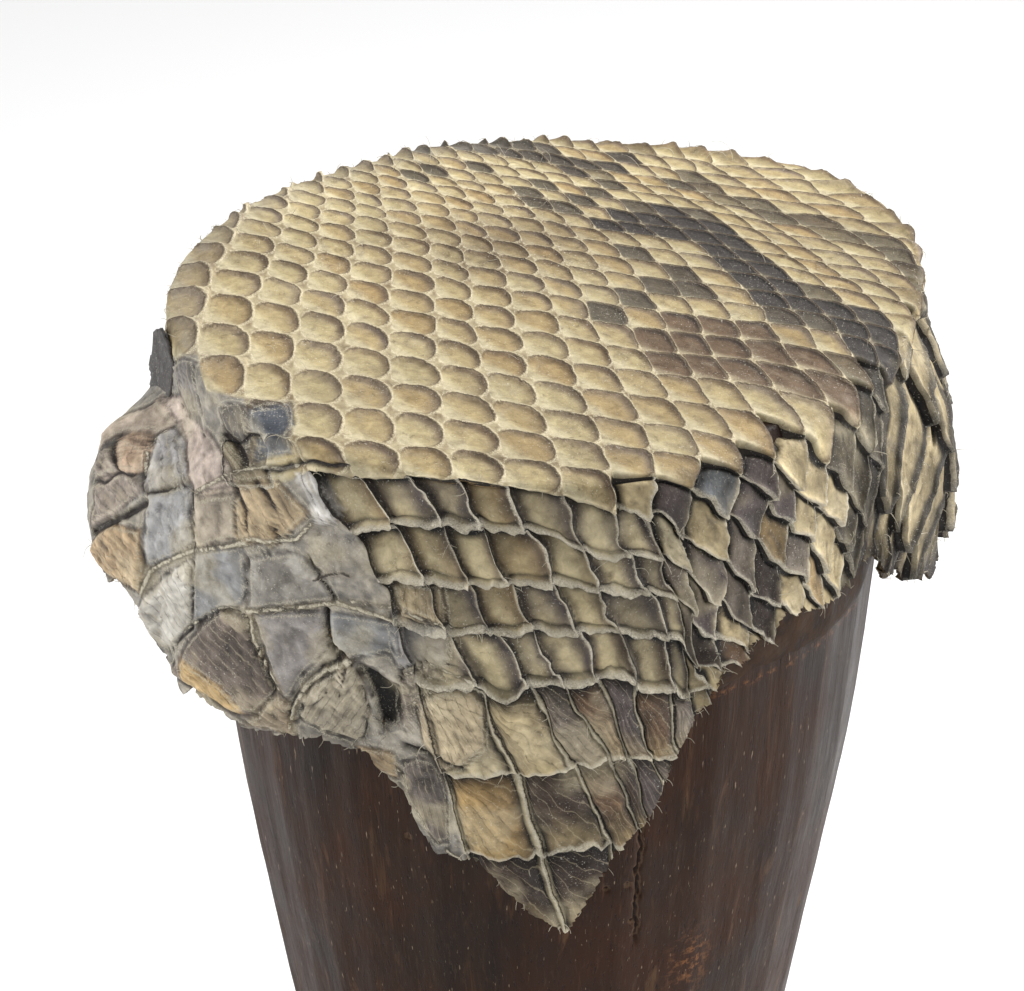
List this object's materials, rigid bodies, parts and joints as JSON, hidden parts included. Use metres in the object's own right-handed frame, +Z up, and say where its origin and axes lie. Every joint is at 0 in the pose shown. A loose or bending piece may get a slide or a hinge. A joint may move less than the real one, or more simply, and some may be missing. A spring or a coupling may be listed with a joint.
{
  "type": "goblet drum",
  "caption": "Hand-carved wooden goblet drum with a glued snakeskin head whose torn skirt hangs over the bowl.",
  "frame": {"origin": "on the drum's axis, in the plane its foot stands on", "axes": "+Z up the drum's axis from foot to head; -Y is the front, where the longest flap of skin hangs"},
  "size_m": [0.2346, 0.199, 0.47],
  "materials": {
    "wood": "dark hand-rubbed wood, satin, with adze facets and fine pores",
    "snakeskin": "dry scaled snakeskin, cream and tan with near-black crossbands",
    "resin": "hardened dark plant resin, dull"
  },
  "bodies": {
    "root": {"shell": "wood", "head_skin": "snakeskin", "glue_band": "resin"}
  },
  "joints": []
}
